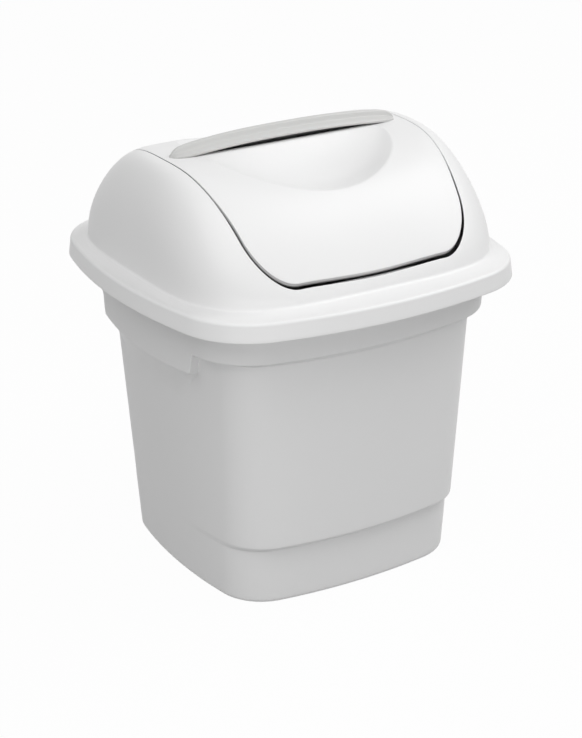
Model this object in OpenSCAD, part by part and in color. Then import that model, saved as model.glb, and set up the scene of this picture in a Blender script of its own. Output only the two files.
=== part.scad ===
// Countertop trash can with a swing lid, in millimetres.
// Origin at the middle of the base, +Z up, -Y is the front.

/* [Lid rim] */
// Width of the lid's rim, left to right
rim_w = 200; // [190:1:215]
// Depth of the lid's rim, front to back
rim_d = 206; // [198:1:218]
// Radius of the rim's corners, seen from above
rim_corner_r = 40.6; // [36:0.1:44]
// How far each side of the rim bows out from corner to corner
side_bow = 18.8; // [14:0.1:22]
// How far the front and the back of the rim bow out
front_bow = 19.2; // [14:0.1:22]
// Height of the rim's top edge above the table
rim_z = 168.5; // [160:0.5:180]
// Height of the skirt that hangs over the bucket
skirt_h = 9.7; // [8:0.1:14]
// How far the skirt spreads from its top to its bottom
skirt_flare = 1; // [0:0.1:2]

/* [Hood] */
// Width of the hood where it rises from the rim
hood_w = 180.8; // [176:0.1:184]
// Depth of the hood where it rises from the rim
hood_d = 176.6; // [175:0.1:181]
// Height of the hood's foot above the rim's edge
hood_step = 3.4; // [3:0.1:5]
// Height of the hood's crest above its foot
hood_h = 54; // [50:0.5:60]
// Width of the flat crest before the shoulders roll down
crest_w = 140; // [136:0.1:144]
// Depth of the oval where the shoulders start, seen from above
crest_d = 103.2; // [90:0.1:120]
// Depth over which the hood's arch would come down to its foot
arch_d = 203.4; // [198:0.1:210]
// How square the arch is, seen from the side
arch_power = 2.57; // [2.4:0.01:2.8]
// How square the shoulders are
shoulder_power = 2.5; // [2:0.05:2.8]
// Wall of the hood and of the rim
hood_wall = 1.6; // [1.4:0.1:2]

/* [Mouth] */
// Width of the parting line between hood and flap
mouth_w = 138.9; // [134:0.1:141]
// Depth of the parting line
mouth_d = 172.6; // [168:0.1:173]
// Radius of the mouth's corners
mouth_corner_r = 23.8; // [18:0.1:30]
// How far the mouth's sides bow out
mouth_side_bow = 10.7; // [6:0.1:14]
// How far the mouth's front and back bow out
mouth_front_bow = 4.2; // [2:0.1:8]
// Gap between flap and hood, seen from above
flap_gap = 1.2; // [1.2:0.1:2]
// Width of the ledges that show in the gap at front and back
ledge_w = 1.4; // [0.6:0.1:1.6]

/* [Flap] */
// Wall of the swinging flap
flap_wall = 1.8; // [1.4:0.1:2.2]
// Width of the finger scoops
scoop_w = 104; // [80:1:116]
// Reach of each scoop from the grip bar towards the edge
scoop_l = 50; // [40:1:56]
// Depth of the scoops
scoop_depth = 11.3; // [6:0.1:14]
// Length of the grip bar
bar_l = 133; // [110:1:134]
// Width of the grip bar
bar_w = 13.4; // [11:0.1:16]
// Height of the grip bar's top above the crest
bar_rise = 8.6; // [7:0.1:11]
// How far the bar's top falls from its middle to its ends
bar_fall = 4.4; // [3:0.1:5]
// Wall of the grip bar's flanks, which is hollow from below
bar_wall = 2.6; // [2:0.1:3]
// Depth of the hollow in the bar's underside
bar_hollow = 1.4; // [0.6:0.1:1.6]
// Clear height of the slit under the middle of the grip bar
slit_h = 2.6; // [1.6:0.1:4]
// Length of each end of the grip bar that stands on the flap
bar_foot = 9.5; // [8:0.5:20]

/* [Hinge] */
// Height of the hinge axis below the crest
axis_drop = 8.8; // [8:0.1:12]
// Radius of the flap's hinge pins
pin_r = 3; // [2:0.1:3.5]
// Running clearance around the pins
pin_clearance = 0.05; // [0.03:0.01:0.1]
// Thickness of the flap's ears and of the hood's lugs
ear_t = 3.6; // [3:0.1:4]
// Wall of plastic around pin and bore
eye_wall = 2.6; // [2:0.1:3]

/* [Bucket] */
// Width of the bucket at the table
base_w = 141.3; // [134:0.1:148]
// Depth of the bucket at the table
base_d = 141.4; // [134:0.1:148]
// How far the foot's middle lies behind the middle of the lid
base_shift = 1.05; // [0:0.05:2]
// Slope of the walls, as spread for each millimetre of height
taper = 0.0755; // [0.06:0.0005:0.08]
// Radius of the body's corners
body_corner_r = 26.8; // [22:0.1:32]
// How far the body's walls bow out at the table
base_bow = 9; // [5:0.1:12]
// How far the body's walls bow out under the collar
top_bow = 17; // [12:0.1:19]
// How far the front steps out above the foot
foot_step = 4.4; // [2:0.1:6]
// Height of the line where the foot ends
foot_z = 35.2; // [25:0.1:45]
// Radius of the bottom edge
base_edge_r = 2.6; // [2:0.1:5]
// Wall of the bucket
bucket_wall = 2; // [1.6:0.1:2.4]

/* [Collar] */
// Width of the collar under the lid
collar_w = 172.6; // [168:0.1:178]
// Depth of the collar under the lid
collar_d = 170; // [168:0.1:176]
// How far the collar's middle lies in front of the middle of the lid
collar_shift = 2.1; // [1:0.1:3]
// Radius of the collar's corners
collar_corner_r = 37; // [30:0.1:42]
// How far the collar's sides bow out
collar_side_bow = 12.5; // [10:0.1:15]
// How far the collar's front and back bow out
collar_front_bow = 15.7; // [12:0.1:18]
// Height of the collar's lower edge
collar_z = 140.4; // [136:0.1:144]
// Radius of the collar's lower edge
collar_edge_r = 1.2; // [0.8:0.1:2]
// Height of the cove between the collar's edge and the body
cove_h = 7; // [4:0.5:10]
// How far the side grips reach down from the collar's edge
grip_drop = 10.6; // [8:0.2:14]
// Half the length of each side grip
grip_half = 47; // [40:0.5:52]
// How far the middle of a grip hangs below its ends
grip_sag = 3.4; // [0:0.1:6]
// Height of the cove under each side grip
grip_cove_h = 24; // [12:1:28]

/* [Fit] */
// Gap between the bucket's rim and the lid that rests on it
lid_gap = 0.3; // [0.3:0.05:0.6]
// Gap between the bucket's rim and the inside of the skirt
skirt_gap = 0.9; // [0.5:0.1:1.4]

/* [Hidden] */

// Directions around the object in degrees, closer together at the corners
quarter = [0, 8, 15, 21, 25, 27.5, 29.5, 33, 37, 41, 44.5, 48, 51.5, 55, 59, 64, 71, 80];
corner_count = len(quarter);
turns = [for (q = [0 : 3]) for (i = [0 : corner_count - 1])
    q % 2 == 0 ? 90 * q + quarter[i]
               : (i == 0 ? 90 * q : 90 * (q + 1) - quarter[corner_count - i])];

// Plan outlines: [half width, half depth, corner radius, side bow, front bow]
rim = [rim_w / 2, rim_d / 2, rim_corner_r, side_bow, front_bow];
collar = [collar_w / 2, collar_d / 2, collar_corner_r, collar_side_bow, collar_front_bow];
mouth = [mouth_w / 2, mouth_d / 2, mouth_corner_r, mouth_side_bow, mouth_front_bow];

foot_top_z = rim_z + hood_step;
crest_z = foot_top_z + hood_h;
axis_z = crest_z - axis_drop;
skirt_z = rim_z - skirt_h;
seat_z = rim_z - hood_wall - 0.2;
bucket_top_z = seat_z - lid_gap;
// Height over which the front steps out above the foot
foot_slant = 4;
// How square the ovals of the hood's foot and of its crest are
foot_power = 4;
crest_power = 2.4;
bar_half = bar_w / 2;
slot_l = bar_l - 2 * bar_foot;
// Keeps a division by a distance of nothing from failing
small = 0.001;

function ease(t) = let (u = min(max(t, 0), 1)) u * u * (3 - 2 * u);

// Far crossing of the ray from the origin in direction u with a circle
function hit(u, c, r) = let (m = u * c) m + sqrt(max(m * m - c * c + r * r, 0));

// Distance from the centre to a bowed rounded rectangle, offset outwards by d:
// each side is one shallow arc, each corner one arc tangent to its neighbours
function reach(t, s, d = 0) = let (
    u = [abs(cos(t)), abs(sin(t))],
    side_r = (s[1] * s[1] + s[3] * s[3]) / (2 * s[3]),
    front_r = (s[0] * s[0] + s[4] * s[4]) / (2 * s[4]),
    side_c = [s[0] - side_r, 0],
    front_c = [0, s[1] - front_r],
    gap = side_c - front_c,
    span = norm(gap),
    d1 = front_r - s[2],
    d2 = side_r - s[2],
    along = (span * span + d1 * d1 - d2 * d2) / (2 * span),
    away = sqrt(d1 * d1 - along * along),
    corner_c = front_c + gap / span * along + [gap[1], -gap[0]] / span * away,
    to_side = corner_c - side_c,
    to_front = corner_c - front_c,
    low = side_c + to_side / norm(to_side) * (side_r + d),
    high = front_c + to_front / norm(to_front) * (front_r + d)
) u[1] * low[0] < u[0] * low[1] ? hit(u, side_c, side_r + d)
    : u[1] * high[0] > u[0] * high[1] ? hit(u, front_c, front_r + d)
    : hit(u, corner_c, s[2] + d);

// Distance from the centre to a squarish oval |x/a|^n + |y/b|^n = 1
function oval(t, a, b, n) = pow(pow(abs(cos(t)) / a, n) + pow(abs(sin(t)) / b, n), -1 / n);

function hood_foot(t, w) = oval(t, hood_w / 2 - w, hood_d / 2 - w, foot_power);

function at(r, t, z) = [r * cos(t), r * sin(t), z];
function blend(a, b, k) = a + (b - a) * k;

// Height of the hood's skin: an arch from front to back times a shoulder that
// rolls down from the crest's oval to the hood's foot, both inset by w
function skin_z(x, y, w) = let (
    r = norm([x, y]) + small,
    t = atan2(y, x),
    foot = hood_foot(t, w),
    crest = oval(t, crest_w / 2, crest_d / 2, crest_power),
    s = min(max((r - crest) / (foot - crest), 0), 1),
    arch = max(1 - pow(abs(y) / (arch_d / 2 - w), arch_power), 0)
) foot_top_z + (hood_h - w) * arch * sqrt(1 - pow(s, shoulder_power));

// Faces between neighbouring rings a and b of n points each, b above a on the outside
function band(n, a, b) = [for (i = [0 : n - 1]) let (j = (i + 1) % n)
    each [[a * n + i, b * n + i, b * n + j], [a * n + i, b * n + j, a * n + j]]];

// A closed shell through rings that start at its opening, spread over the top
// and come back underneath to the first one
module ring_shell(rings) {
    n = len(rings[0]);
    m = len(rings);
    polyhedron(points = [for (ring = rings) each ring],
        faces = [for (k = [0 : m - 1]) each band(n, (k + 1) % m, k)], convexity = 8);
}

// A closed shell through rings, with a flat cap on the first and the last one
module capped_shell(rings) {
    n = len(rings[0]);
    m = len(rings);
    polyhedron(points = [for (ring = rings) each ring],
        faces = concat([for (k = [0 : m - 2]) each band(n, k, k + 1)],
            [[for (i = [0 : n - 1]) i], [for (i = [n - 1 : -1 : 0]) (m - 1) * n + i]]),
        convexity = 8);
}

// ---- Bucket ----

// Outline of the body at height z; step is what the front stands out above the foot
function body(z, step) = let (bow = blend(base_bow, top_bow, z / collar_z))
    [base_w / 2 + taper * z, (base_d + step) / 2 + taper * z, body_corner_r, bow, bow];

function body_at(t, z, step, d) = at(reach(t, body(z, step), d), t, z)
    + [0, base_shift - step / 2, 0];
function collar_at(t, z, d) = at(reach(t, collar, d + taper * (z - collar_z)), t, z)
    - [0, collar_shift, 0];

// Distance from the middle of the side to where direction t meets it
function along_side(t) = collar_w / 2 * abs(sin(t)) / max(abs(cos(t)), small);

// Share of a side grip in direction t: 1 along the grip, falling to 0 at its hooked ends
hook_l = 5;
function grip_share(t) = ease((grip_half + hook_l / 2 - along_side(t)) / hook_l);

// Height of the collar's lower edge, which hangs lower along the side grips
function edge_z(t) = collar_z
    - grip_share(t) * (grip_drop + grip_sag * max(1 - pow(along_side(t) / grip_half, 2), 0));

// Point of the hollow cove under the collar's edge, k = 0 at the body, 1 at the edge
edge_cut = collar_edge_r * 0.3;
function cove(t, k, d) = let (
    z1 = edge_z(t) - edge_cut,
    z = z1 - blend(cove_h, grip_cove_h, grip_share(t)) * (1 - k),
    a = body_at(t, z, foot_step, d),
    b = collar_at(t, z1, d - collar_edge_r)
) [blend(a[0], b[0], k * k), blend(a[1], b[1], k * k), z];

function body_ring(z, step, d, lift = 0) = [for (t = turns) body_at(t, z, step, d) + [0, 0, lift]];
function collar_ring(z, d) = [for (t = turns) collar_at(t, z, d)];
function edge_ring(up, d) = [for (t = turns) collar_at(t, edge_z(t) + up, d)];
function rim_ring(z, d) = [for (t = turns) at(reach(t, rim, d), t, z)];
function cove_ring(k, d, lift = 0) = [for (t = turns) cove(t, k, d) + [0, 0, lift]];

// Inset of the bucket's rim from the lid's rim, and widths of its lip
lip_in = skirt_gap + hood_wall;
lip_w = 2.6;
lip_r = 0.6;
lip_h = 3.4;
chamfer = base_edge_r * (1 - sqrt(0.5));
cove_foot_z = collar_z - grip_drop - grip_sag - grip_cove_h - 2;
bucket_outside = [
    body_ring(0, 0, -base_edge_r),
    body_ring(chamfer, 0, -chamfer),
    body_ring(base_edge_r, 0, 0),
    body_ring(foot_z - foot_slant, 0, 0),
    body_ring(foot_z - 0.8, foot_step, -0.6),
    body_ring(foot_z, foot_step, 0),
    body_ring(cove_foot_z, foot_step, 0),
    cove_ring(0, 0),
    cove_ring(0.25, 0),
    cove_ring(0.5, 0),
    cove_ring(0.75, 0),
    cove_ring(1, 0),
    edge_ring(edge_cut, -edge_cut),
    edge_ring(collar_edge_r, 0),
    collar_ring(bucket_top_z - lip_h - 2, 0)
];
bucket_rim = [
    rim_ring(bucket_top_z - lip_h, -lip_in),
    rim_ring(bucket_top_z - lip_r, -lip_in),
    rim_ring(bucket_top_z, -lip_in - lip_r),
    rim_ring(bucket_top_z, -lip_in - lip_w),
    rim_ring(bucket_top_z - lip_r, -lip_in - lip_w - lip_r)
];
bucket_inside = [
    collar_ring(bucket_top_z - lip_h - 1.2, -bucket_wall),
    edge_ring(collar_edge_r + 1.2, -bucket_wall),
    cove_ring(1, -bucket_wall, 1.2),
    cove_ring(0.6, -bucket_wall, 1),
    cove_ring(0.3, -bucket_wall, 0.6),
    cove_ring(0, -bucket_wall),
    body_ring(foot_z + 0.6, foot_step, -bucket_wall),
    body_ring(foot_z - foot_slant + 0.6, 0, -bucket_wall),
    body_ring(bucket_wall + 3, 0, -bucket_wall),
    body_ring(bucket_wall + 0.9, 0, -bucket_wall - 0.9),
    body_ring(bucket_wall, 0, -bucket_wall - 3)
];

module bucket() {
    color("gainsboro") capped_shell(concat(bucket_outside, bucket_rim, bucket_inside));
}

// ---- Hood ----

// The ledge of the mouth's edge, wide at front and back and gone at the sides
ledge_start = 0.84;
function ledge(t) = ledge_w * ease((abs(sin(t)) - ledge_start) / (1 - ledge_start));

// Ring of the hood's skin, k = 0 at the mouth's edge and 1 at the foot
function hood_ring(k, w) = [for (t = turns) let (
    edge = reach(t, mouth, flap_gap / 2) - (w > 0 ? ledge(t) : 0),
    foot = hood_foot(t, w),
    r = blend(edge, foot, k),
    p = at(r, t, 0)
) [p[0], p[1], k == 1 ? foot_top_z : skin_z(p[0], p[1], w)]];

// Ring between the hood's foot and the rim's edge, at share k of the way
function flange_ring(k, w, z, d = 0) = [for (t = turns)
    at(blend(hood_foot(t, w), reach(t, rim, -w), k) + d, t, z)];

outer_steps = 9;
inner_steps = 7;
hood_outside = [for (i = [0 : outer_steps]) hood_ring(sin(90 * i / outer_steps), 0)];
hood_inside = [for (i = [inner_steps : -1 : 0]) hood_ring(sin(90 * i / inner_steps), hood_wall)];
flange_outside = [
    flange_ring(0, 0, foot_top_z - 0.9, 0.3),
    flange_ring(0.12, 0, rim_z + 1.9),
    flange_ring(0.3, 0, rim_z + 1.3),
    flange_ring(0.65, 0, rim_z + 0.7),
    rim_ring(rim_z + 0.2, -1.8),
    rim_ring(rim_z - 0.2, -0.6),
    rim_ring(rim_z - 1.2, 0),
    rim_ring(skirt_z + 0.5, skirt_flare),
    rim_ring(skirt_z, skirt_flare - 0.5),
    rim_ring(skirt_z, skirt_flare - hood_wall)
];
flange_inside = [
    rim_ring(seat_z - 0.8, -hood_wall),
    rim_ring(seat_z, -hood_wall - 0.8),
    rim_ring(seat_z, -hood_wall - 6),
    flange_ring(0, hood_wall, foot_top_z - hood_wall - 2, 0.4)
];

// The lugs and ears end this far below the crest, inside the walls that carry them
lug_sink = 1.6;
eye_r = pin_r + eye_wall;
lug_x = mouth_w / 2 + flap_gap / 2 + 1.2;
eye_spread = 1.5;
lug_top = axis_drop - lug_sink;

// Outline of an eye around the hinge axis that widens upwards to its root
module eye() {
    circle(r = eye_r, $fn = 48);
    polygon([[-eye_r, 0], [eye_r, 0], [eye_r + eye_spread, lug_top], [-eye_r - eye_spread, lug_top]]);
}

module hinge_lug() {
    translate([lug_x, 0, axis_z]) rotate([90, 0, 90])
        linear_extrude(height = ear_t) difference() {
            eye();
            circle(r = pin_r + pin_clearance, $fn = 48);
        }
}

module lid_hood() {
    color("white") union() {
        ring_shell(concat(hood_outside, flange_outside, flange_inside, hood_inside));
        hinge_lug();
        mirror([1, 0, 0]) hinge_lug();
    }
}

// ---- Flap ----

// Depth of the finger scoops, one on each side of the grip bar: a bowl that
// starts at the bar, is deepest beyond the middle and ends at an oval edge
scoop_roundness = 0.75;
scoop_lean = 1.15;
function scoop(x, y) = let (
    v = abs(y) - bar_half,
    m = max(1 - pow(2 * x / scoop_w, 2), 0),
    u = v / (scoop_l * sqrt(m) + small)
) m == 0 || v <= 0 || u >= 1 ? 0 : scoop_depth * pow(m, scoop_roundness) * sin(180 * pow(u, scoop_lean));

// Slot under the grip bar
slot_half = bar_half - 1.6;
function slot_at(t) = let (c = cos(t), s = sin(t))
    [slot_l / 2 * sign(c) * pow(abs(c), 0.6), slot_half * sign(s) * pow(abs(s), 0.6)];

// Ring of the flap's skin, k = 0 at the slot and 1 at the flap's edge
function flap_ring(k, w) = [for (t = turns) let (
    edge = reach(t, mouth, -flap_gap / 2) - (w > 0 ? ledge(t) : 0),
    p = blend(slot_at(t), edge * [cos(t), sin(t)], k)
) [p[0], p[1], skin_z(p[0], p[1], w) - scoop(p[0], p[1])]];

flap_steps = [0, 0.05, 0.13, 0.21, 0.3, 0.39, 0.47, 0.54, 0.6, 0.68, 0.8, 0.92, 1];
inner_flap_steps = [1, 0.9, 0.76, 0.64, 0.56, 0.47, 0.37, 0.26, 0.13, 0];
flap_outside = [for (k = flap_steps) flap_ring(k, 0)];
flap_inside = [for (k = inner_flap_steps) flap_ring(k, flap_wall)];

// Height of the grip bar's profile at share v of its half width: a low dome
// with a narrow ridge on it, whose flanks are steep
dome_share = 0.5;
ridge_half = 0.16;
flank_l = 0.24;
function bar_height(v) = dome_share * pow(1 - v * v, 0.75)
    + (1 - dome_share) * (1 - ease((v - ridge_half) / flank_l));
bar_shares = [1, 0.94, 0.84, 0.7, 0.54, 0.41, 0.35, 0.3, 0.25, 0.19, 0.1];
bar_count = len(bar_shares);
bar_profile = concat([for (v = bar_shares) [v, bar_height(v)]], [[0, 1]],
    [for (i = [bar_count - 1 : -1 : 0]) [-bar_shares[i], bar_height(bar_shares[i])]]);
bar_lip = 1.2;
nose_sink = 0.3;

// The bar's top falls slowly towards its ends and quickly at its noses, and its
// underside is an arch that dips below the crest beyond the slot
function bar_top(x) = let (q = abs(x) / (bar_l / 2))
    crest_z + bar_rise - bar_fall * pow(q, 2.5) - (bar_rise - bar_fall + nose_sink) * pow(q, 30);
function bar_low(x) = crest_z + slit_h * (1 - pow(abs(x) / (slot_l / 2), 2.4));

// Cross-section of the grip bar at x
function bar_section(x) = let (
    w = bar_half * sqrt(1 - pow(min(abs(x) / (bar_l / 2), 1), 9)) + small,
    low = bar_low(x),
    high = bar_top(x),
    side = low + min(bar_lip, 0.3 * (high - low))
) concat([[x, -w, low], [x, w, low]], [for (p = bar_profile) [x, w * p[0], blend(side, high, p[1])]]);

bar_places = [0.995, 0.98, 0.95, 0.91, 0.86, 0.78, 0.66, 0.5, 0.33, 0.15];
bar_stations = concat([for (q = bar_places) -q * bar_l / 2],
    [for (i = [len(bar_places) - 1 : -1 : 0]) bar_places[i] * bar_l / 2]);

module grip_bar() {
    hollow_l = slot_l * 0.7;
    difference() {
        capped_shell([for (x = bar_stations) bar_section(x)]);
        translate([-hollow_l / 2, -bar_half + bar_wall, crest_z])
            cube([hollow_l, bar_w - 2 * bar_wall, slit_h + bar_hollow]);
    }
}

ear_inset = 1.5;
pin_in = mouth_w / 2 - flap_gap / 2 - ear_inset - ear_t;
pin_out = lug_x + ear_t + 0.8;

module hinge_ear() {
    translate([pin_in, 0, axis_z]) rotate([90, 0, 90])
        linear_extrude(height = ear_t) eye();
    translate([pin_in + 0.5, 0, axis_z]) rotate([0, 90, 0])
        cylinder(r = pin_r, h = pin_out - pin_in - 0.5, $fn = 48);
}

module swing_flap() {
    color("whitesmoke") union() {
        ring_shell(concat(flap_outside, flap_inside));
        grip_bar();
        hinge_ear();
        mirror([1, 0, 0]) hinge_ear();
    }
}

bucket();
lid_hood();
swing_flap();
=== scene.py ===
import bpy
import numpy as np
from mathutils import Matrix, Vector


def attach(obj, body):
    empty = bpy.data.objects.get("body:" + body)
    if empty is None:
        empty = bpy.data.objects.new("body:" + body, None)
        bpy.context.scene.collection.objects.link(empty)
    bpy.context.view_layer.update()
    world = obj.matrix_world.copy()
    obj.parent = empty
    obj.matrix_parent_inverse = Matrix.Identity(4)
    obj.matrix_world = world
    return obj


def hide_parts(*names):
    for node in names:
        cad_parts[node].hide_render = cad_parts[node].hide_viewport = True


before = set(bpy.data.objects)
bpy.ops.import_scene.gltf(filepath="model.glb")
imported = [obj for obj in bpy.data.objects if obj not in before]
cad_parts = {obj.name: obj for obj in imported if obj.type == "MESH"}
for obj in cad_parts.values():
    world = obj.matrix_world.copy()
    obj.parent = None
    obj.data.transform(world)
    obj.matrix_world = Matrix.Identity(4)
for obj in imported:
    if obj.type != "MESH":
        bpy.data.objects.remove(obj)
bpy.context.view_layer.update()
mm = 0.001  # every size below is in millimetres
print("frame loaded", sorted(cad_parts))

# plan outlines: half width, half depth, corner radius, bow of the sides, bow of front and back
rimPlan = (100, 103, 40.6, 18.8, 19.2)
collarPlan = (86.9, 86.2, 35, 12, 16)
mouthPlan = (69.45, 86.3, 23.8, 10.7, 4.2)

heights = {
    "rimEdge": 168.5, "skirtEnd": 158.8, "hoodFoot": 171.9, "crest": 225.9,
    "axis": 217.1, "seat": 166.7, "bucketTop": 166.4,
}


def ease(t):
    # smooth step: 3 t squared - 2 t cubed, held between 0 and 1
    t = np.clip(t, 0, 1)
    return t * t * (3 - 2 * t)


def rayHit(ux, uy, cx, cy, r):
    # far crossing of the ray from the origin with a circle
    along = ux * cx + uy * cy
    return along + np.sqrt(np.maximum(along ** 2 - cx ** 2 - cy ** 2 + r ** 2, 0))


def planReach(turn, plan, grow=0.0):
    # distance from the centre to a rectangle whose four sides are shallow arcs,
    # joined by corner arcs tangent to both, all offset outwards by grow
    a, b, cornerR, sideBow, frontBow = plan
    ux, uy = np.abs(np.cos(turn)), np.abs(np.sin(turn))
    sideR = (b * b + sideBow ** 2) / (2 * sideBow)
    frontR = (a * a + frontBow ** 2) / (2 * frontBow)
    sideX, frontY = a - sideR, b - frontR
    span = np.hypot(sideX, frontY)
    along = (span ** 2 + (frontR - cornerR) ** 2 - (sideR - cornerR) ** 2) / (2 * span)
    away = np.sqrt((frontR - cornerR) ** 2 - along ** 2)
    dx, dy = sideX / span, -frontY / span
    cx, cy = dx * along + dy * away, frontY + dy * along - dx * away
    toSide, toFront = np.hypot(cx - sideX, cy), np.hypot(cx, cy - frontY)
    lowX = sideX + (cx - sideX) / toSide * (sideR + grow)
    lowY = cy / toSide * (sideR + grow)
    highX = cx / toFront * (frontR + grow)
    highY = frontY + (cy - frontY) / toFront * (frontR + grow)
    corner = rayHit(ux, uy, cx, cy, cornerR + grow)
    side = rayHit(ux, uy, sideX, 0, sideR + grow)
    front = rayHit(ux, uy, 0, frontY, frontR + grow)
    return np.where(uy * lowX < ux * lowY, side, np.where(uy * highX > ux * highY, front, corner))


def ovalReach(turn, a, b, n):
    # distance from the centre to the squarish oval |x/a|^n + |y/b|^n = 1
    return ((np.abs(np.cos(turn)) / a) ** n + (np.abs(np.sin(turn)) / b) ** n) ** (-1 / n)


def ring(r, turn, z):
    # points at distance r in direction turn; a column of distances gives one row for each
    return np.stack(np.broadcast_arrays(r * np.cos(turn), r * np.sin(turn), z), -1)


def spread(first, last, count):
    # evenly spaced values as a column, one for each row of a surface
    return np.linspace(first, last, count)[:, None]


def single(value):
    # one value as a column, for a surface row of its own
    return np.array([[float(value)]])


def arc(first, last, count):
    # sine and cosine of evenly spaced angles in degrees, as columns
    a = np.radians(spread(first, last, count))
    return np.sin(a), np.cos(a)


def gridMesh(name, rows, loop=False, capStart=False, capEnd=False):
    # stacked rows of rings make one closed skin; each ring is closed, the rows close up
    # too if loop is set, and a cap closes the first or the last ring towards its middle
    rows = np.vstack(rows)
    m, n = rows.shape[:2]
    points = rows.reshape(-1, 3) * mm
    i, j = np.meshgrid(np.arange(m if loop else m - 1), np.arange(n), indexing="ij")
    below, right = (i + 1) % m, (j + 1) % n
    quads = np.stack([i * n + j, i * n + right, below * n + right, below * n + j], -1)
    quads = quads.reshape(-1, 4)
    fans = []
    for on, row, flip in ((capStart, 0, True), (capEnd, m - 1, False)):
        if on:
            points = np.vstack([points, rows[row].mean(0) * mm])
            edge = row * n + np.arange(n)
            pair = [np.roll(edge, -1), edge] if flip else [edge, np.roll(edge, -1)]
            fans.append(np.stack(pair + [np.full(n, len(points) - 1)], -1))
    mesh = bpy.data.meshes.new(name)
    loops = np.concatenate([quads.ravel()] + [f.ravel() for f in fans])
    sizes = np.concatenate([np.full(len(quads), 4)] + [np.full(len(f), 3) for f in fans])
    mesh.vertices.add(len(points))
    mesh.vertices.foreach_set("co", points.astype(np.float32).ravel())
    mesh.loops.add(len(loops))
    mesh.loops.foreach_set("vertex_index", loops.astype(np.int32))
    mesh.polygons.add(len(sizes))
    mesh.polygons.foreach_set("loop_start", (np.cumsum(sizes) - sizes).astype(np.int32))
    mesh.update(calc_edges=True)
    mesh.validate()
    mesh.polygons.foreach_set("use_smooth", np.ones(len(sizes), bool))
    piece = bpy.data.objects.new(name, mesh)
    bpy.context.scene.collection.objects.link(piece)
    return piece


cameraSetup = {
    "azimuth": -30.279, "elevation": 22.721, "roll": -0.864, "focal": 2057.3, "imageHeight": 738,
    "target": (0, 0, 120), "distance": 1093.0, "right": 1.506, "up": -21.036, "sensor": 36,
}


def makeCamera(c):
    # angles in degrees, focal length in pixels of the photograph, places in millimetres
    a, e, r = (np.radians(c[k]) for k in ("azimuth", "elevation", "roll"))
    back = np.array([np.sin(a) * np.cos(e), -np.cos(a) * np.cos(e), np.sin(e)])
    right = np.array([np.cos(a), np.sin(a), 0])
    up = np.cross(back, right)
    place = np.array(c["target"]) + back * c["distance"] + right * c["right"] + up * c["up"]
    turnedRight = right * np.cos(r) + up * np.sin(r)
    turnedUp = up * np.cos(r) - right * np.sin(r)
    camera = bpy.data.objects.new("camera", bpy.data.cameras.new("camera"))
    camera.data.sensor_width = c["sensor"]
    camera.data.lens = c["sensor"] * c["focal"] / c["imageHeight"]
    axes = np.column_stack([turnedRight, turnedUp, back, place * mm])
    camera.matrix_world = Matrix([*axes.tolist(), [0, 0, 0, 1]])
    bpy.context.scene.collection.objects.link(camera)
    bpy.context.scene.camera = camera


makeCamera(cameraSetup)
print("camera placed")


class Wire:
    # one socket of a shader; operators on wires and numbers add Math nodes
    def __init__(self, tree, socket):
        self.tree = tree
        self.socket = socket

    def math(self, operation, first, second):
        return self.node("ShaderNodeMath", {"operation": operation}, {0: first, 1: second})

    def __add__(self, other):
        return self.math("ADD", self, other)

    def __radd__(self, other):
        return self.math("ADD", other, self)

    def __sub__(self, other):
        return self.math("SUBTRACT", self, other)

    def __rsub__(self, other):
        return self.math("SUBTRACT", other, self)

    def __mul__(self, other):
        return self.math("MULTIPLY", self, other)

    def __rmul__(self, other):
        return self.math("MULTIPLY", other, self)

    def node(self, kind, settings=None, inputs=None, out=0):
        made = self.tree.nodes.new(kind)
        for key, value in (settings or {}).items():
            setattr(made, key, value)
        for key, value in (inputs or {}).items():
            if isinstance(value, Wire):
                self.tree.links.new(value.socket, made.inputs[key])
            else:
                made.inputs[key].default_value = value
        return Wire(self.tree, made.outputs[out])

    def noise(self, place, scale, detail):
        inputs = {"Vector": place, "Scale": float(scale), "Detail": float(detail)}
        return self.node("ShaderNodeTexNoise", {}, inputs, "Fac")


moulding = {
    "ior": 1.49, "lowTone": 0.985, "highTone": 1.01, "driftRough": 0.06, "grainRough": 0.05,
    "grainHeight": 0.06, "driftDetail": 3, "grainDetail": 2,
}


def plastic(name, look):
    # moulded satin plastic: slow tone drift, fine grain in the bump, slight roughness change
    m = moulding
    material = bpy.data.materials.new(name)
    material.use_nodes = True
    tree = material.node_tree
    shader = tree.nodes["Principled BSDF"]
    shader.inputs["IOR"].default_value = m["ior"]
    shader.inputs["Specular IOR Level"].default_value = look["specular"]
    start = Wire(tree, None)
    place = start.node("ShaderNodeTexCoord", out="Object")
    drift = start.noise(place, look["driftScale"], m["driftDetail"])
    grain = start.noise(place, look["grainScale"], m["grainDetail"])
    low = tuple(c * m["lowTone"] for c in look["colour"]) + (1,)
    high = tuple(min(c * m["highTone"], 1) for c in look["colour"]) + (1,)
    tone = start.node("ShaderNodeMix", {"data_type": "RGBA"}, {"Factor": drift, 6: low, 7: high}, 2)
    rough = look["roughness"] + (drift - 0.5) * m["driftRough"] + (grain - 0.5) * m["grainRough"]
    relief = {"Strength": look["grain"], "Distance": m["grainHeight"] * mm, "Height": grain}
    bump = start.node("ShaderNodeBump", {}, relief)
    tree.links.new(tone.socket, shader.inputs["Base Color"])
    tree.links.new(rough.socket, shader.inputs["Roughness"])
    tree.links.new(bump.socket, shader.inputs["Normal"])
    return material


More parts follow.
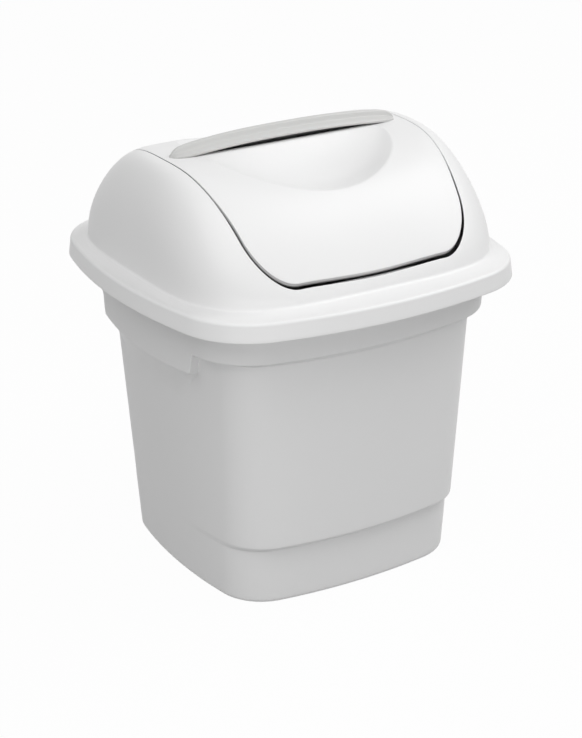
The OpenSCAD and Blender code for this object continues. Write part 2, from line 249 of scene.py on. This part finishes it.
finishes = {
    "lid": {"colour": (0.82, 0.82, 0.82), "roughness": 0.38, "specular": 0.45,
            "grain": 0.12, "grainScale": 1500, "driftScale": 14},
    "bucket": {"colour": (0.81, 0.81, 0.81), "roughness": 0.42, "specular": 0.4,
               "grain": 0.2, "grainScale": 1500, "driftScale": 14},
    # the grip bar is the lid's white plastic; its darker colour here is painted shade, standing in
    # for the grey of its steep shaded faces
    "bar": {"colour": (0.58, 0.58, 0.57), "roughness": 0.36, "specular": 0.45,
            "grain": 0.12, "grainScale": 1500, "driftScale": 14},
}
lidPlastic = plastic("lidPlastic", finishes["lid"])
bucketPlastic = plastic("bucketPlastic", finishes["bucket"])
# a darker copy of the lid's plastic, with painted shade in its colour
barShadePaintedPlastic = plastic("barShadePaintedPlastic", finishes["bar"])
print("materials made")

bucketLook = {
    "columns": 520, "wall": 2.0, "floorRound": 3, "baseEdge": 2.6,
    # the tapered body and the step of its foot
    "halfW": 70.65, "halfD": 70.7, "shift": 1.05, "taper": 0.0755, "cornerR": 26.8,
    "baseBow": 9, "topBow": 17, "footStep": 4.4, "footZ": 35.2, "footSlant": 4, "footEase": 0.7,
    # the collar, with the cove and groove under its edge
    "collarZ": 140.9, "collarTop": 161, "collarShift": 2.15, "collarEdge": 0.9, "edgeCut": 0.3,
    "coveH": 2.4, "coveLean": 1.25, "coveCurve": 0.8, "groove": 0.8,
    # the side grips and the hollow under each
    "gripFront": -48, "gripBack": 56, "gripDrop": 11, "gripSag": 2.4, "hookL": 3,
    "gripCoveH": 20, "gripLean": 1.0, "gripCurve": 2.0, "frontFade": 22, "backFade": 6,
    # how much higher the inside lies than the outside at step, cove and shoulder
    "stepLift": 0.6, "coveLift": 1.3, "shoulderLift": 1,
    "rimInset": 2.5, "rimRound": 0.8, "rimW": 3.4, "rimH": 3.4,
}


def makeBucket(b):
    turn = np.linspace(0, 2 * np.pi, b["columns"], endpoint=False)
    wall, edgeR, top = b["wall"], b["collarEdge"], heights["bucketTop"]
    # the collar's lower edge hangs lower along the side grips, most in their middle,
    # and the hollow under each grip gets lower towards its hooked ends
    sideY = collarPlan[0] * np.sin(turn) / np.maximum(np.abs(np.cos(turn)), 0.2)
    toFront, toBack = sideY - b["gripFront"], b["gripBack"] - sideY
    inside = np.minimum(toFront, toBack)
    grip = ease(inside / b["hookL"] + 0.5)
    hollow = ease(np.minimum(toFront / b["frontFade"], toBack / b["backFade"]))
    sag = 1 - (2 * inside / (b["gripBack"] - b["gripFront"]) - 1) ** 2
    edgeZ = b["collarZ"] - grip * (b["gripDrop"] + b["gripSag"] * np.maximum(sag, 0))
    edgeFoot = edgeZ - edgeR * b["edgeCut"]

    def body(z, share=1.0, grow=0.0):
        # outline that widens with height; share of the step moves the front out, not the back
        step, spreadOut = b["footStep"] * share, b["taper"] * z
        bow = b["baseBow"] + (b["topBow"] - b["baseBow"]) * z / b["collarZ"]
        plan = (b["halfW"] + spreadOut, b["halfD"] + step / 2 + spreadOut, b["cornerR"], bow, bow)
        rows = ring(planReach(turn, plan, grow), turn, z)
        rows[..., 1] += b["shift"] - step / 2
        return rows

    def collar(z, grow=0.0):
        # the collar's outline, which widens upwards as the body does, but not over the grips
        spreadOut = b["taper"] * np.maximum(z - b["collarZ"], 0)
        rows = ring(planReach(turn, collarPlan, grow + spreadOut), turn, z)
        rows[..., 1] -= b["collarShift"]
        return rows

    def cove(k, grow=0.0, lift=0.0):
        # from the body (k = 0) out to the collar's edge (k = 1): short and nearly flat at
        # front and back, a tall hollow that goes out with k squared under the side grips
        height, lean, curve = (b[low] + (b[tall] - b[low]) * hollow for low, tall in (
            ("coveH", "gripCoveH"), ("coveLean", "gripLean"), ("coveCurve", "gripCurve")))
        z = edgeFoot - height * (1 - k ** lean)
        inner, outer = body(z, 1.0, grow), collar(edgeFoot, grow - edgeR)
        # outside, where the hollow is low, a groove runs under the edge, as deep as the sine of k
        groove = b["groove"] * (1 - hollow) * np.sin(np.pi * k) * (grow == 0)
        rows = inner + (outer - inner) * (k ** curve)[..., None]
        rows = rows - groove[..., None] * ring(1, turn, 0)
        rows[..., 2] = z + lift
        return rows

    def underCove(k):
        # the body's last rows, which end along the foot of the cove (k = 1)
        end = cove(0.0 * k)[..., 2]
        return body(coveLow + (end - coveLow) * k)

    def rim(z, grow):
        return ring(planReach(turn, rimPlan, grow - b["rimInset"]), turn, z)

    def between(first, last, k):
        # from one ring to the other with a smooth step
        return first + (last - first) * ease(k)[..., None]

    def middle(z, grow, first, last, count):
        # shrinking copies of the ring that ends a flat bottom
        rows = body(z, 0.0, grow)
        centre = rows.mean(axis=0)
        return centre + (rows - centre) * spread(first, last, count)[..., None]

    footLow = b["footZ"] - b["footSlant"]
    coveLow = b["collarZ"] - b["gripDrop"] - b["gripSag"] - b["gripCoveH"] - 1
    k = spread(0, 1, 16)
    slope, slopeShare = footLow + b["footSlant"] * k, ease(k) ** b["footEase"]
    collarTop, innerTop = b["collarTop"], b["collarTop"] + b["shoulderLift"]
    collarH = collarTop - edgeZ - edgeR
    floorR = b["floorRound"]
    baseSin, baseCos = arc(0, 90, 10)
    edgeSin, edgeCos = arc(10, 90, 8)
    rimSin, rimCos = arc(0, 90, 7)
    rimR, rimInner = b["rimRound"], b["rimRound"] - b["rimW"]
    floorSin, floorCos = arc(0, 90, 7)
    rows = [
        # outside, from the middle of the base up to the rim
        middle(0, -b["baseEdge"], 0.5, 0.95, 3),
        body(b["baseEdge"] * (1 - baseCos), 0.0, -b["baseEdge"] * (1 - baseSin)),
        body(spread(b["baseEdge"] + 2, footLow - 1, 6), 0.0),
        body(slope, slopeShare),
        body(spread(b["footZ"] + 1.5, coveLow, 14)),
        underCove(spread(0, 1, 12)[1:-1] ** 0.5),
        underCove(single(0.985)),
        cove(spread(0, 1, 26)),
        collar(edgeFoot + edgeR * (1 + b["edgeCut"]) * (1 - edgeCos), -edgeR * (1 - edgeSin)),
        collar(collarTop - collarH * spread(0.9, 0, 8)),
        between(collar(collarTop), rim(top - b["rimH"], 0), spread(0.1, 1, 9)),
        rim(top - rimR * (1 - rimSin), -rimR * (1 - rimCos)),
        # inside, from the rim down to the middle of the floor
        rim(top - rimR * (1 - rimCos), rimInner - rimR * rimSin),
        between(rim(top - rimR, rimInner - rimR), collar(innerTop, -wall), spread(0.1, 1, 8)),
        collar(innerTop - collarH * spread(0.1, 1, 6), -wall),
        cove(spread(1, 0, 16), -wall, b["coveLift"]),
        body(spread(coveLow, b["footZ"] + 1, 8), 1.0, -wall),
        body(slope[::-2] + b["stepLift"], slopeShare[::-2], -wall),
        body(spread(footLow - 2, wall + floorR + 1, 5), 0.0, -wall),
        body(wall + floorR * (1 - floorSin), 0.0, -wall - floorR * (1 - floorCos)),
        middle(wall, -wall - floorR, 0.9, 0.4, 3),
    ]
    return gridMesh("bucketShell", rows, capStart=True, capEnd=True)


bucketShell = makeBucket(bucketLook)
bucketShell.data.materials.append(bucketPlastic)
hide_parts("bucket")
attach(bucketShell, "bin")
print("bucket made")

hoodLook = {
    "columns": 480, "wall": 1.6,
    # the dome: its foot, its crest, and the powers of its curves
    "halfW": 90.4, "halfD": 88.3, "footPower": 4, "crestHalfW": 70, "crestHalfD": 51.6,
    "crestPower": 2.4, "archHalf": 101.7, "archPower": 2.57, "shoulderPower": 2.5,
    # the mouth, its ledge and the gap round the flap
    "gap": 1.2, "sideGap": 0.45, "frontGap": 1.25, "gapStart": 40, "gapBlend": 25,
    "ledge": 1.4, "ledgeStart": 0.84, "mouthRound": 0.7,
    # the flange and the skirt, outside and inside
    "footDrop": 0.2, "fillet": 1.7, "flangeCurve": 1.6, "edgeLift": 0.1, "rimRound": 1.8,
    "skirtFlare": 1.0, "skirtRound": 0.5, "innerRound": 0.3, "seatRound": 0.8, "seatW": 6,
    "innerFootDrop": 2, "innerFootOut": 0.4,
}


def hoodFoot(turn, w):
    return ovalReach(turn, hoodLook["halfW"] - w, hoodLook["halfD"] - w, hoodLook["footPower"])


def skinHeight(x, y, w):
    # an arch from front to back, 1 - |y/half|^power, times a shoulder that rolls
    # down from the crest's oval to the foot's, sqrt(1 - share^power), inset by w
    h = hoodLook
    r, turn = np.hypot(x, y) + 1e-6, np.arctan2(y, x)
    foot = hoodFoot(turn, w)
    crest = ovalReach(turn, h["crestHalfW"], h["crestHalfD"], h["crestPower"])
    s = np.clip((r - crest) / (foot - crest), 0, 1)
    arch = np.maximum(1 - (np.abs(y) / (h["archHalf"] - w)) ** h["archPower"], 0)
    rise = heights["crest"] - heights["hoodFoot"] - w
    return heights["hoodFoot"] + rise * arch * np.sqrt(1 - s ** h["shoulderPower"])


def ledgeWidth(turn):
    # the step seen in the gap: wide at front and back, none at the sides and corners
    start = hoodLook["ledgeStart"]
    return hoodLook["ledge"] * ease((np.abs(np.sin(turn)) - start) / (1 - start))


def flapEdge(turn, inset=0.0):
    # the flap's outline: the gap round it is narrow along the sides and wide at front and back
    h = hoodLook
    mouth = planReach(turn, mouthPlan, -h["gap"] / 2)
    wide = ease((np.abs(mouth * np.sin(turn)) - h["gapStart"]) / h["gapBlend"])
    return mouth + h["gap"] - h["sideGap"] * (1 - wide) - h["frontGap"] * wide - inset


def makeHood(h):
    turn = np.linspace(0, 2 * np.pi, h["columns"], endpoint=False)
    foot, edge, low, seat = (heights[key] for key in ("hoodFoot", "rimEdge", "skirtEnd", "seat"))
    wall, flare, fillet, mouthR = (h[key] for key in ("wall", "skirtFlare", "fillet", "mouthRound"))
    edgeR, skirtR, innerR, seatR = (
        h[key] for key in ("rimRound", "skirtRound", "innerRound", "seatRound"))

    def skin(k, w=0.0, start=0.0, drop=0.0):
        # the dome from the mouth's edge (k = 0) to its foot (k = 1), inset by w
        mouth = planReach(turn, mouthPlan, h["gap"] / 2 + start) - (ledgeWidth(turn) if w else 0)
        r = mouth + (hoodFoot(turn, w) - mouth) * k
        z = np.where(k < 1, skinHeight(r * np.cos(turn), r * np.sin(turn), w), foot)
        return ring(r, turn, z - drop)

    def rim(z, grow):
        return ring(planReach(turn, rimPlan, grow), turn, z)

    def flange(k, z, w=0.0, start=0.0, inset=0.0):
        # between the dome's foot and the rim's edge
        first = hoodFoot(turn, w) + start
        return ring(first + (planReach(turn, rimPlan, -inset) - first) * k, turn, z)

    mouthSin, mouthCos = arc(0, 80, 5)
    shoulderSin = arc(1, 90, 48)[0]
    filletSin, filletCos = arc(10, 90, 9)
    edgeSin, edgeCos = arc(0, 90, 11)
    skirtSin, skirtCos = arc(15, 90, 6)
    seatSin, seatCos = arc(30, 90, 3)
    fall, down = spread(0.92, 0.08, 11), spread(0.08, 1, 6)
    filletTop, edgeTop = foot - h["footDrop"], edge + h["edgeLift"]
    flangeZ = edgeTop + (filletTop - fillet - edgeTop) * fall ** h["flangeCurve"]
    rows = [
        # outside, from the mouth down to the skirt's end
        skin(0.0, 0.0, mouthR * (1 - mouthCos), mouthR * (1 - mouthSin)),
        skin(shoulderSin, 0.0, mouthR),
        flange(0.0, filletTop - fillet * filletSin, 0.0, fillet * (1 - filletCos)),
        flange(1 - fall, flangeZ, 0.0, fillet, edgeR),
        rim(edgeTop - edgeR * (1 - edgeCos), -edgeR * (1 - edgeSin)),
        rim(edgeTop - edgeR + (low + skirtR - edgeTop + edgeR) * down, flare * down),
        rim(low + skirtR * (1 - skirtSin), flare - skirtR * (1 - skirtCos)),
        # inside, from there up to the seat on the bucket's rim and back to the mouth
        rim(low + spread(0, innerR, 2), flare - wall + spread(innerR, 0, 2)),
        rim(low + innerR + (seat - seatR - innerR - low) * down[1:], flare * (1 - down[1:]) - wall),
        rim(seat - seatR * (1 - seatSin), -wall - seatR * (1 - seatCos)),
        rim(seat, single(-wall - h["seatW"])),
        flange(0.0, single(foot - wall - h["innerFootDrop"]), wall, h["innerFootOut"]),
        skin(arc(90, 0, 30)[0], wall),
    ]
    # the rows run downwards outside, so they are turned round for faces that point outwards
    return gridMesh("hoodShell", [r[::-1] for r in rows[::-1]], loop=True)


hoodShell = makeHood(hoodLook)
hoodShell.data.materials.append(lidPlastic)
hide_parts("lid_hood")
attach(hoodShell, "lid")
print("hood made")

flapLook = {
    "columns": 560, "wall": 1.8, "edgeRound": 0.3, "innerEdge": 0.97,
    "scoopHalfW": 52, "scoopL": 50, "scoopDepth": 12.6, "scoopRound": 1.2, "scoopLean": 1.0,
    "slotHalfL": 57, "slotHalfW": 4.3, "slotCorner": 0.6,
    # the turned-down lip, which fades from lipFrom + lipBlend towards the hinge
    "lipDepth": 2.2, "lipInset": 0.15, "lipWall": 1.0, "lipStart": 0.3, "lipBend": 0.45,
    "lipFrom": 12, "lipBlend": 40, "lipDrop": 0.1,
}
barLook = {
    "sections": 160, "around": 96, "halfL": 66.5, "halfW": 6.7, "reach": 0.9996,
    "rise": 8.5, "fall": 4.4, "fallPower": 2.5, "noseDrop": 4.5, "noseFall": 30, "nosePower": 9,
    "slit": 2.6, "slitPower": 2.4, "lip": 1.2, "lipShare": 0.3, "underPower": 0.25,
    "domeShare": 0.42, "domePower": 0.75, "ridgeHalf": 0.2, "flankL": 0.17,
}


def scoopDepth(x, y):
    # a bowl on each side of the bar: sine of the share of its reach, and shallower towards its ends
    f = flapLook
    m = np.maximum(1 - (x / f["scoopHalfW"]) ** 2, 0)
    u = np.clip((np.abs(y) - barLook["halfW"]) / (f["scoopL"] * np.sqrt(m) + 1e-3), 0, 1)
    return f["scoopDepth"] * m ** f["scoopRound"] * np.sin(np.pi * u ** f["scoopLean"])


def makeFlap(f):
    turn = np.linspace(0, 2 * np.pi, f["columns"], endpoint=False)
    c, s = np.cos(turn), np.sin(turn)
    slot = np.stack([f["slotHalfL"] * np.sign(c) * np.abs(c) ** f["slotCorner"],
                     f["slotHalfW"] * np.sign(s) * np.abs(s) ** f["slotCorner"]], -1)

    def skin(k, w=0.0, inset=0.0, drop=0.0):
        # from the slot (k = 0) to the flap's edge (k = 1): the dome's height less the scoops'
        edge = flapEdge(turn, inset) - (ledgeWidth(turn) if w else 0)
        p = slot + (ring(edge, turn, 0)[..., :2] - slot) * np.asarray(k)[..., None]
        z = skinHeight(p[..., 0], p[..., 1], w) - scoopDepth(p[..., 0], p[..., 1]) - drop
        return np.concatenate([p, z[..., None]], -1)

    def lip(depth, inset):
        # the turned-down edge, which follows a circle about the hinge axis; near the hinge
        # only a tenth of its depth is left, straight down
        p = skin(single(1), 0.0, inset, edgeR + f["lipDrop"] * depth)
        y, z = p[..., 1], p[..., 2] - heights["axis"]
        depth = depth * ease((np.abs(y) - f["lipFrom"]) / f["lipBlend"]) / np.hypot(y, z)
        return p + np.stack([0 * y, np.sign(y) * z * depth, -np.abs(y) * depth], -1)

    edgeR, lipDepth, lipInset = f["edgeRound"], f["lipDepth"], f["lipInset"]
    edgeSin, edgeCos = arc(20, 80, 4)
    rows = [
        # the top from the slot to the edge, the lip, and the underside back to the slot
        skin(spread(0, 1, 96), 0.0, edgeR),
        skin(np.ones((4, 1)), 0.0, edgeR * (1 - edgeSin), edgeR * (1 - edgeCos)),
        lip(f["lipStart"], 0.0), lip(f["lipBend"], lipInset), lip(lipDepth / 2, lipInset),
        lip(lipDepth, lipInset), lip(lipDepth, lipInset + f["lipWall"]),
        skin(spread(f["innerEdge"], 0, 48), f["wall"]),
    ]
    return gridMesh("flapShell", [r[::-1] for r in rows[::-1]], loop=True)


def makeBar(b):
    # along the bar, q is the share of its half length: the half width is sqrt(1 - q^9), the
    # top falls with q^2.5 and at the noses with q^30, and the underside is an arch over the
    # slot, 1 - |x/half slot|^2.4; across it, v is the share of the half width: a low dome,
    # (1 - v^2)^0.75, with a steep narrow ridge on it
    q = np.sin(np.radians(spread(-90, 90, b["sections"]))) * b["reach"]
    x, q = q * b["halfL"], np.abs(q)
    w, crest = b["halfW"] * np.sqrt(1 - q ** b["nosePower"]), heights["crest"]
    top = crest + b["rise"] - b["fall"] * q ** b["fallPower"] - b["noseDrop"] * q ** b["noseFall"]
    low = crest + b["slit"] * (1 - (np.abs(x) / flapLook["slotHalfL"]) ** b["slitPower"])
    side = low + np.minimum(b["lip"], b["lipShare"] * (top - low))
    a = np.linspace(0, np.pi, b["around"], endpoint=False)
    v = np.cos(a)
    dome = b["domeShare"] * (1 - v ** 2) ** b["domePower"]
    ridge = (1 - b["domeShare"]) * (1 - ease((np.abs(v) - b["ridgeHalf"]) / b["flankL"]))
    upper = np.stack(np.broadcast_arrays(x, w * v, side + (top - side) * (dome + ridge)), -1)
    across = -np.sign(v) * np.abs(v) ** b["underPower"]
    underside = side - (side - low) * np.sin(a) ** b["underPower"]
    lower = np.stack(np.broadcast_arrays(x, w * across, underside), -1)
    return gridMesh("gripBar", [np.concatenate([upper, lower], 1)], capStart=True, capEnd=True)


flapShell = makeFlap(flapLook)
flapShell.data.materials.append(lidPlastic)
gripBar = makeBar(barLook)
gripBar.data.materials.append(barShadePaintedPlastic)
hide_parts("swing_flap")
for piece in (flapShell, gripBar):
    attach(piece, "flap")
print("flap made")

hingeLook = {
    "pinR": 3.0, "clearance": 0.05, "eyeWall": 2.6, "eyeSpread": 1.5, "eyeRise": 7.2, "thick": 3.6,
    "lugGap": 1.2, "earInset": 1.5, "chamfer": 0.3, "pinRound": 0.5, "pinReach": 0.8, "around": 72,
    "earOverlap": 0.4, "pinSink": 0.5,
}


def turned(x, r, angle, side):
    # rings of radius r around the hinge axis at places x, mirrored to the left for side = -1
    z = heights["axis"] + r * np.sin(angle)
    rows = np.stack(np.broadcast_arrays(side * x, r * np.cos(angle), z), -1)
    return rows if side > 0 else rows[::-1]


def eyePlate(name, xIn, boreR, side):
    # a plate around the hinge axis, with a bore: round below, and above it the flanks widen
    # by eyeSpread over eyeRise up to a flat root
    h = hingeLook
    a = np.linspace(0, 2 * np.pi, h["around"], endpoint=False)
    outer, rise, cut = h["pinR"] + h["eyeWall"], h["eyeRise"], h["chamfer"]
    toTop = rise / np.maximum(np.sin(a), 1e-9)
    slope = np.abs(np.cos(a)) - h["eyeSpread"] / rise * np.sin(a)
    flank = outer / np.maximum(slope, 1e-9)
    reach = np.where(np.sin(a) > 0, np.minimum(toTop, flank), outer)
    xOut = xIn + h["thick"]
    x = np.array([xIn, xIn, xIn + cut, xOut - cut, xOut, xOut])[:, None]
    bore = np.full_like(a, boreR)
    r = np.stack([bore, reach - cut, reach, reach, reach - cut, bore])
    return gridMesh(name, [turned(x, r, a, side)], loop=True)


def stubPin(name, xIn, xOut, side):
    # a cylinder on the hinge axis with a quarter round on its outer end
    h = hingeLook
    a = np.linspace(0, 2 * np.pi, h["around"], endpoint=False)
    roundSin, roundCos = arc(0, 90, 5)
    x = np.vstack([[[xIn]], xOut - h["pinRound"] * (1 - roundSin)])
    r = np.vstack([[[h["pinR"]]], h["pinR"] - h["pinRound"] * (1 - roundCos)])
    return gridMesh(name, [turned(x, r, a, side)], capStart=True, capEnd=True)


lugIn = mouthPlan[0] + hoodLook["gap"] / 2 + hingeLook["lugGap"]
earIn = mouthPlan[0] - hoodLook["gap"] / 2 - hingeLook["earInset"] - hingeLook["thick"]
pinOut = lugIn + hingeLook["thick"] + hingeLook["pinReach"]
for side, word in ((-1, "Left"), (1, "Right")):
    lug = eyePlate("hingeLug" + word, lugIn, hingeLook["pinR"] + hingeLook["clearance"], side)
    ear = eyePlate("hingeEar" + word, earIn, hingeLook["pinR"] - hingeLook["earOverlap"], side)
    pin = stubPin("hingePin" + word, earIn + hingeLook["pinSink"], pinOut, side)
    for piece, body, slot in ((lug, "lid", "lid_plastic"), (ear, "flap", "flap_plastic"),
                              (pin, "flap", "flap_plastic")):
        piece.data.materials.append(lidPlastic)
        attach(piece, body)
print("hinge made")

# places and sizes in metres, powers in watts
stageLook = {
    "floorHalf": 3.0, "floor": 0.27, "floorRough": 0.9, "floorGlow": 1.05, "floorSeen": 0.92,
    "world": 0.38, "aim": (0, 0, 0.12),
    "key": {"place": (0.95, -0.35, 1.15), "size": (1.0, 1.0), "power": 9.2},
    "side": {"place": (-0.6, -0.5, 1.3), "size": (1.2, 1.2), "power": 8.0},
    "front": {"place": (-0.4, -0.8, 0.1), "size": (1.2, 0.16), "power": 2.1},
}


def seenDirectly(tree):
    # 1 for the camera and for what shows in gloss or through glass, 0 for the light on the object
    path = tree.nodes.new("ShaderNodeLightPath")
    camera, gloss, glass = (Wire(tree, path.outputs[key])
                            for key in ("Is Camera Ray", "Is Glossy Ray", "Is Transmission Ray"))
    return camera.math("MAXIMUM", camera, camera.math("MAXIMUM", gloss, glass))


def makeFloor(look):
    # a pale sheet that keeps the object's shadow and looks white to the camera
    half = look["floorHalf"]
    mesh = bpy.data.meshes.new("floor")
    corners = [(-half, -half, 0), (half, -half, 0), (half, half, 0), (-half, half, 0)]
    mesh.from_pydata(corners, [], [(0, 1, 2, 3)])
    floor = bpy.data.objects.new("floor", mesh)
    bpy.context.scene.collection.objects.link(floor)
    material = bpy.data.materials.new("floorPaper")
    material.use_nodes = True
    tree = material.node_tree
    shader = tree.nodes["Principled BSDF"]
    shader.inputs["Base Color"].default_value = (look["floor"],) * 3 + (1,)
    shader.inputs["Roughness"].default_value = look["floorRough"]
    seen = seenDirectly(tree)
    white = {"Color": (1, 1, 1, 1), "Strength": look["floorGlow"]}
    glow = seen.node("ShaderNodeEmission", {}, white)
    paper = Wire(tree, shader.outputs[0])
    mixed = seen.node("ShaderNodeMixShader", {}, {0: seen * look["floorSeen"], 1: paper, 2: glow})
    tree.links.new(mixed.socket, tree.nodes["Material Output"].inputs["Surface"])
    mesh.materials.append(material)


def makeLight(name, spec):
    lamp = bpy.data.lights.new(name, "AREA")
    lamp.shape = "RECTANGLE"
    lamp.size, lamp.size_y = spec["size"]
    lamp.energy = spec["power"]
    light = bpy.data.objects.new(name, lamp)
    light.location = spec["place"]
    aim = Vector(stageLook["aim"]) - Vector(spec["place"])
    light.rotation_euler = aim.to_track_quat("-Z", "Y").to_euler()
    bpy.context.scene.collection.objects.link(light)


def makeWorld(look):
    world = bpy.data.worlds.new("studio")
    bpy.context.scene.world = world
    world.use_nodes = True
    tree = world.node_tree
    ground = tree.nodes["Background"]
    ground.inputs["Color"].default_value = (1, 1, 1, 1)
    strength = look["world"] + seenDirectly(tree) * (1 - look["world"])
    tree.links.new(strength.socket, ground.inputs["Strength"])


makeFloor(stageLook)
makeWorld(stageLook)
for name in ("key", "side", "front"):
    makeLight(name + "Light", stageLook[name])
bpy.context.scene.view_settings.view_transform = "Standard"
print("stage and light set")
